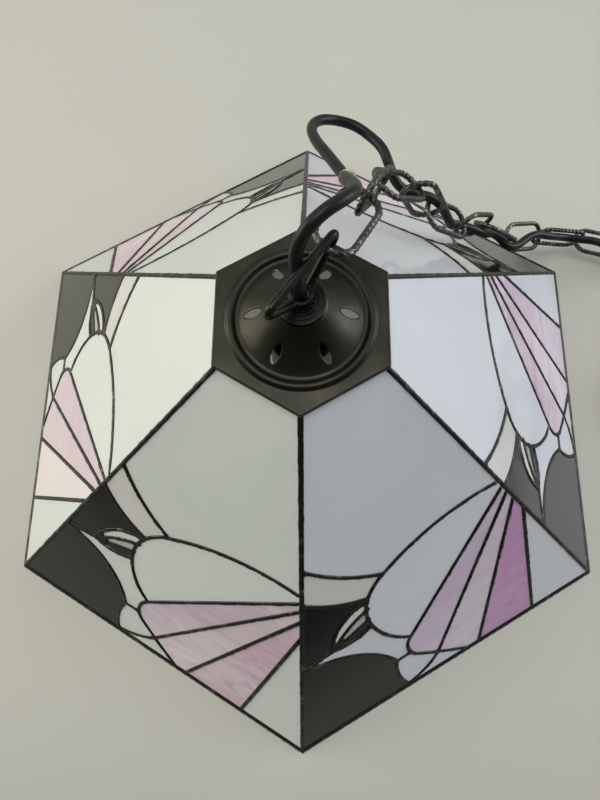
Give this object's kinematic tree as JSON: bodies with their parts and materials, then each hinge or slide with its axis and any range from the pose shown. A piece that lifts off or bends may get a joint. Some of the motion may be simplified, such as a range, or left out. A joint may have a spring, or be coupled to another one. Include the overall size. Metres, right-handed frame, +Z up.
{
  "type": "pool table lamp",
  "caption": "Six-sided leaded-glass pool table lamp with a dished vase cap, hanging loop, oval-link chain and round flex.",
  "frame": {"origin": "on the shade's axis, in the plane of its open rim, which is also the surface it stands on", "axes": "+Z up the shade's axis from rim to cap; +X towards the side where the chain and flex lie; -Y towards the front corner"},
  "size_m": [0.7194, 0.5628, 0.2869],
  "materials": {
    "opal_glass": "opalescent white sheet glass, glossy, softly mottled",
    "beige_glass": "opalescent beige-white sheet glass, glossy",
    "rose_glass": "streaky pink and mauve sheet glass, glossy",
    "black_glass": "opaque black sheet glass, high gloss",
    "solder": "black-patinated solder, lumpy, soft sheen",
    "antique_bronze": "dark antique bronze, satin, worn at the edges",
    "chain_steel": "dark bronzed steel wire, satin",
    "plated_steel": "zinc-plated steel",
    "holder_plastic": "black thermoset, satin",
    "ceramic": "glazed white ceramic",
    "contact_brass": "bright brass sheet",
    "core_insulation": "coloured PVC core insulation",
    "flex_black": "black PVC flex, satin",
    "tie_wrap": "black tie band",
    "tape": "yellowed clear tape"
  },
  "bodies": {
    "lamp": {"chain_link_01": "chain_steel", "chain_link_02": "chain_steel", "chain_link_03": "chain_steel", "chain_link_04": "chain_steel", "chain_link_05": "chain_steel", "chain_link_06": "chain_steel", "chain_link_07": "chain_steel", "chain_link_08": "chain_steel", "chain_link_09": "chain_steel", "chain_link_10": "chain_steel", "chain_link_11": "chain_steel", "check_ring": "antique_bronze", "clamp_nut": "plated_steel", "coil_tie": "tie_wrap", "core_ends": "core_insulation", "core_wires": "core_insulation", "corner_pane": "opal_glass", "crown_band": "solder", "crown_pane": "opal_glass", "flex_coil": "flex_black", "flex_in_nipple": "flex_black", "flex_tail": "flex_black", "grub_screw": "plated_steel", "hanging_loop": "antique_bronze", "holder_cap": "holder_plastic", "holder_skirt": "holder_plastic", "inner_leaf_pane": "beige_glass", "insulator": "ceramic", "leaf_base_pane": "black_glass", "lock_washer": "plated_steel", "lower_black_pane": "black_glass", "outer_leaf_pane": "beige_glass", "oval_pane": "opal_glass", "panel_seams": "solder", "pendant_flex": "flex_black", "ray_1_pane": "rose_glass", "ray_2_pane": "rose_glass", "ray_3_pane": "rose_glass", "ridge_seams": "solder", "rim_came": "solder", "rim_sliver_pane": "opal_glass", "shade_wheel": "plated_steel", "side_contact": "contact_brass", "stem_pane": "opal_glass", "strip_pane": "beige_glass", "tape_wrap": "tape", "terminal_screws": "plated_steel", "threaded_nipple": "plated_steel", "threaded_shell": "contact_brass", "upper_black_pane": "black_glass", "vase_cap": "antique_bronze", "wheel_washer": "plated_steel", "wing_pane": "opal_glass"},
    "chain_link_12_body": {"chain_link_12": "chain_steel"},
    "chain_link_13_body": {"chain_link_13": "chain_steel"},
    "chain_link_14_body": {"chain_link_14": "chain_steel"},
    "centre_contact_body": {"centre_contact": "contact_brass"}
  },
  "joints": [
    {"name": "link_12_swing", "type": "hinge", "parent": "lamp", "child": "chain_link_12_body", "pos_m": [0.35097, 0.16355, 0.014], "axis": [0, 0, 1], "range_deg": [-45, 45]},
    {"name": "link_13_swing", "type": "hinge", "parent": "chain_link_12_body", "child": "chain_link_13_body", "pos_m": [0.3901, 0.17232, 0.014], "axis": [0, 0, 1], "range_deg": [-45, 45]},
    {"name": "link_14_swing", "type": "hinge", "parent": "chain_link_13_body", "child": "chain_link_14_body", "pos_m": [0.43378, 0.19666, 0.014], "axis": [0, 0, 1], "range_deg": [-45, 45]},
    {"name": "contact_press", "type": "slide", "parent": "lamp", "child": "centre_contact_body", "axis": [0, 0, 1], "range_m": [0, 0.0015], "stiffness_N_per_m": 800}
  ]
}
